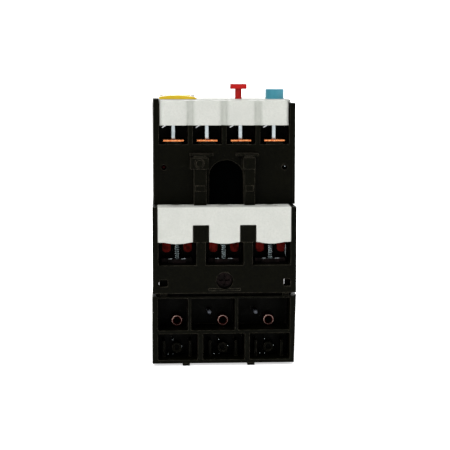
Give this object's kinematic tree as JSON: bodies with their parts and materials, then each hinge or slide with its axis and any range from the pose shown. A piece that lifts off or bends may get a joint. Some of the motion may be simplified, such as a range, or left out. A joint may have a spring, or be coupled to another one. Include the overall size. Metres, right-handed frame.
{
  "type": "motor protection breaker",
  "caption": "Three-pole motor protection relay on a mounting base, with screw terminals, setting dial, test and reset buttons.",
  "frame": {"origin": "middle of the outline, at the bottom of the feet", "axes": "+Z towards the front of the device (away from the panel), -Y towards the load cables, +X to the right"},
  "size_m": [0.045, 0.0856, 0.0888],
  "materials": {
    "black_plastic": "moulded, fine satin grain",
    "white_plastic": "moulded, satin, warm light grey",
    "grey_plastic": "moulded, satin",
    "ivory_plastic": "moulded, satin",
    "red_plastic": "moulded, glossy",
    "blue_plastic": "moulded, semi-gloss",
    "clear_yellow": "transparent tinted, polished",
    "zinc_steel": "zinc plated",
    "dark_steel": "black oxide",
    "spring_steel": "drawn or rolled",
    "copper": "bare copper",
    "copper_saddle": "dark passivated copper alloy",
    "orange_brass": "bright copper alloy, stamped edge",
    "silver_brass": "brass with silver contact faces"
  },
  "bodies": {
    "root": {"aux_shroud": "white_plastic", "aux_terminal_plates": "orange_brass", "base_housing": "black_plastic", "bimetal_brackets": "zinc_steel", "bimetal_strips": "spring_steel", "cover_screws": "zinc_steel", "dial_cover_pin": "zinc_steel", "front_plate": "white_plastic", "heater_windings": "copper", "housing_screws": "zinc_steel", "latch_hooks": "black_plastic", "line_shroud": "white_plastic", "line_terminal_block": "black_plastic", "line_terminal_plates": "zinc_steel", "load_shroud": "white_plastic", "load_terminal_plates": "zinc_steel", "mechanism_housing": "black_plastic", "pole_housing": "black_plastic", "pole_sockets": "copper", "rail_spring": "spring_steel", "relay_pins": "copper", "relay_screw": "dark_steel", "reset_spring": "spring_steel", "snap_spring": "spring_steel", "test_spring": "spring_steel"},
    "rail_slider": {"rail_slider": "grey_plastic"},
    "trip_slider": {"trip_slider": "ivory_plastic"},
    "differential_slider": {"differential_slider": "ivory_plastic"},
    "trip_lever": {"trip_lever": "ivory_plastic"},
    "contact_rocker": {"contact_rocker": "ivory_plastic", "contact_bridges": "silver_brass"},
    "setting_dial": {"setting_dial": "grey_plastic"},
    "dial_cover": {"dial_cover": "clear_yellow"},
    "test_button": {"test_button": "red_plastic"},
    "reset_plunger": {"reset_plunger": "ivory_plastic"},
    "reset_button": {"reset_button": "blue_plastic"},
    "load_clamp_1": {"load_clamp_1": "copper_saddle"},
    "load_screw_1": {"load_screw_1": "zinc_steel"},
    "load_clamp_2": {"load_clamp_2": "copper_saddle"},
    "load_screw_2": {"load_screw_2": "zinc_steel"},
    "load_clamp_3": {"load_clamp_3": "copper_saddle"},
    "load_screw_3": {"load_screw_3": "zinc_steel"},
    "line_clamp_1": {"line_clamp_1": "copper_saddle"},
    "line_screw_1": {"line_screw_1": "zinc_steel"},
    "line_clamp_2": {"line_clamp_2": "copper_saddle"},
    "line_screw_2": {"line_screw_2": "zinc_steel"},
    "line_clamp_3": {"line_clamp_3": "copper_saddle"},
    "line_screw_3": {"line_screw_3": "zinc_steel"},
    "aux_clamp_1": {"aux_clamp_1": "zinc_steel"},
    "aux_screw_1": {"aux_screw_1": "zinc_steel"},
    "aux_clamp_2": {"aux_clamp_2": "zinc_steel"},
    "aux_screw_2": {"aux_screw_2": "zinc_steel"},
    "aux_clamp_3": {"aux_clamp_3": "zinc_steel"},
    "aux_screw_3": {"aux_screw_3": "zinc_steel"},
    "aux_clamp_4": {"aux_clamp_4": "zinc_steel"},
    "aux_screw_4": {"aux_screw_4": "zinc_steel"}
  },
  "joints": [
    {"name": "rail_slider_slide", "type": "slide", "parent": "root", "child": "rail_slider", "axis": [0, 1, 0], "range_m": [-0.0035, 0], "stiffness_N_per_m": 500, "springref_m": 0.002, "deforming": ["rail_spring"]},
    {"name": "trip_slide", "type": "slide", "parent": "root", "child": "trip_slider", "axis": [1, 0, 0], "range_m": [0, 0.001], "stiffness_N_per_m": 300},
    {"name": "differential_slide", "type": "slide", "parent": "root", "child": "differential_slider", "axis": [1, 0, 0], "range_m": [0, 0.0005]},
    {"name": "trip_lever_turn", "type": "hinge", "parent": "root", "child": "trip_lever", "pos_m": [0.0182, 0, 0.059], "axis": [0, 0, 1], "range_deg": [0, 9]},
    {"name": "contact_rocker_turn", "type": "hinge", "parent": "root", "child": "contact_rocker", "pos_m": [0, -0.01, 0.0745], "axis": [-1, 0, 0], "range_deg": [0, 9.6], "deforming": ["snap_spring"]},
    {"name": "setting_dial_turn", "type": "hinge", "parent": "root", "child": "setting_dial", "pos_m": [-0.0138, -0.014, 0.082], "axis": [0, 0, 1], "range_deg": [0, 270]},
    {"name": "dial_cover_flip", "type": "hinge", "parent": "root", "child": "dial_cover", "pos_m": [-0.01378, -0.0074, 0.08475], "axis": [-1, 0, 0], "range_deg": [0, 105]},
    {"name": "test_button_slide", "type": "slide", "parent": "root", "child": "test_button", "axis": [0, 0, 1], "range_m": [-0.0017, 0.0017], "stiffness_N_per_m": 400, "deforming": ["test_spring"]},
    {"name": "reset_press", "type": "slide", "parent": "root", "child": "reset_plunger", "axis": [0, 0, 1], "range_m": [-0.0025, 0], "stiffness_N_per_m": 400, "springref_m": 0.001, "deforming": ["reset_spring"]},
    {"name": "reset_turn", "type": "hinge", "parent": "reset_plunger", "child": "reset_button", "pos_m": [0.0181, -0.014, 0.084], "axis": [0, 0, 1], "range_deg": [0, 90]},
    {"name": "load_clamp_1_slide", "type": "slide", "parent": "root", "child": "load_clamp_1", "axis": [0, 0, -1], "range_m": [0, 0.002]},
    {"name": "load_screw_1_turn", "type": "hinge", "parent": "load_clamp_1", "child": "load_screw_1", "pos_m": [-0.01475, -0.036, 0.0415], "axis": [0, 0, -1], "range_deg": [0, 1200.5]},
    {"name": "load_clamp_2_slide", "type": "slide", "parent": "root", "child": "load_clamp_2", "axis": [0, 0, -1], "range_m": [0, 0.002]},
    {"name": "load_screw_2_turn", "type": "hinge", "parent": "load_clamp_2", "child": "load_screw_2", "pos_m": [0, -0.036, 0.0415], "axis": [0, 0, -1], "range_deg": [0, 1200.5]},
    {"name": "load_clamp_3_slide", "type": "slide", "parent": "root", "child": "load_clamp_3", "axis": [0, 0, -1], "range_m": [0, 0.002]},
    {"name": "load_screw_3_turn", "type": "hinge", "parent": "load_clamp_3", "child": "load_screw_3", "pos_m": [0.01475, -0.036, 0.0415], "axis": [0, 0, -1], "range_deg": [0, 1200.5]},
    {"name": "line_clamp_1_slide", "type": "slide", "parent": "root", "child": "line_clamp_1", "axis": [0, 0, -1], "range_m": [0, 0.002]},
    {"name": "line_screw_1_turn", "type": "hinge", "parent": "line_clamp_1", "child": "line_screw_1", "pos_m": [-0.01475, 0.036, 0.0415], "axis": [0, 0, -1], "range_deg": [0, 1200.5]},
    {"name": "line_clamp_2_slide", "type": "slide", "parent": "root", "child": "line_clamp_2", "axis": [0, 0, -1], "range_m": [0, 0.002]},
    {"name": "line_screw_2_turn", "type": "hinge", "parent": "line_clamp_2", "child": "line_screw_2", "pos_m": [0, 0.036, 0.0415], "axis": [0, 0, -1], "range_deg": [0, 1200.5]},
    {"name": "line_clamp_3_slide", "type": "slide", "parent": "root", "child": "line_clamp_3", "axis": [0, 0, -1], "range_m": [0, 0.002]},
    {"name": "line_screw_3_turn", "type": "hinge", "parent": "line_clamp_3", "child": "line_screw_3", "pos_m": [0.01475, 0.036, 0.0415], "axis": [0, 0, -1], "range_deg": [0, 1200.5]},
    {"name": "aux_clamp_1_slide", "type": "slide", "parent": "root", "child": "aux_clamp_1", "axis": [0, 0, -1], "range_m": [0, 0.0045]},
    {"name": "aux_screw_1_turn", "type": "hinge", "parent": "aux_clamp_1", "child": "aux_screw_1", "pos_m": [-0.01565, -0.029, 0.0772], "axis": [0, 0, -1], "range_deg": [0, 2700.5]},
    {"name": "aux_clamp_2_slide", "type": "slide", "parent": "root", "child": "aux_clamp_2", "axis": [0, 0, -1], "range_m": [0, 0.0045]},
    {"name": "aux_screw_2_turn", "type": "hinge", "parent": "aux_clamp_2", "child": "aux_screw_2", "pos_m": [-0.00495, -0.029, 0.0772], "axis": [0, 0, -1], "range_deg": [0, 2700.5]},
    {"name": "aux_clamp_3_slide", "type": "slide", "parent": "root", "child": "aux_clamp_3", "axis": [0, 0, -1], "range_m": [0, 0.0045]},
    {"name": "aux_screw_3_turn", "type": "hinge", "parent": "aux_clamp_3", "child": "aux_screw_3", "pos_m": [0.00575, -0.029, 0.0772], "axis": [0, 0, -1], "range_deg": [0, 2700.5]},
    {"name": "aux_clamp_4_slide", "type": "slide", "parent": "root", "child": "aux_clamp_4", "axis": [0, 0, -1], "range_m": [0, 0.0045]},
    {"name": "aux_screw_4_turn", "type": "hinge", "parent": "aux_clamp_4", "child": "aux_screw_4", "pos_m": [0.01645, -0.029, 0.0772], "axis": [0, 0, -1], "range_deg": [0, 2700.5]}
  ],
  "couplings": [
    {"joint": "differential_slide", "follows": "trip_slide", "ratio": 0.5},
    {"joint": "trip_lever_turn", "follows": "trip_slide", "rad_per_m": 153.8},
    {"joint": "contact_rocker_turn", "follows": "trip_slide", "rad_per_m": 164},
    {"joint": "load_screw_1_turn", "follows": "load_clamp_1_slide", "rad_per_m": 10472},
    {"joint": "load_screw_2_turn", "follows": "load_clamp_2_slide", "rad_per_m": 10472},
    {"joint": "load_screw_3_turn", "follows": "load_clamp_3_slide", "rad_per_m": 10472},
    {"joint": "line_screw_1_turn", "follows": "line_clamp_1_slide", "rad_per_m": 10472},
    {"joint": "line_screw_2_turn", "follows": "line_clamp_2_slide", "rad_per_m": 10472},
    {"joint": "line_screw_3_turn", "follows": "line_clamp_3_slide", "rad_per_m": 10472},
    {"joint": "aux_screw_1_turn", "follows": "aux_clamp_1_slide", "rad_per_m": 10472},
    {"joint": "aux_screw_2_turn", "follows": "aux_clamp_2_slide", "rad_per_m": 10472},
    {"joint": "aux_screw_3_turn", "follows": "aux_clamp_3_slide", "rad_per_m": 10472},
    {"joint": "aux_screw_4_turn", "follows": "aux_clamp_4_slide", "rad_per_m": 10472}
  ]
}
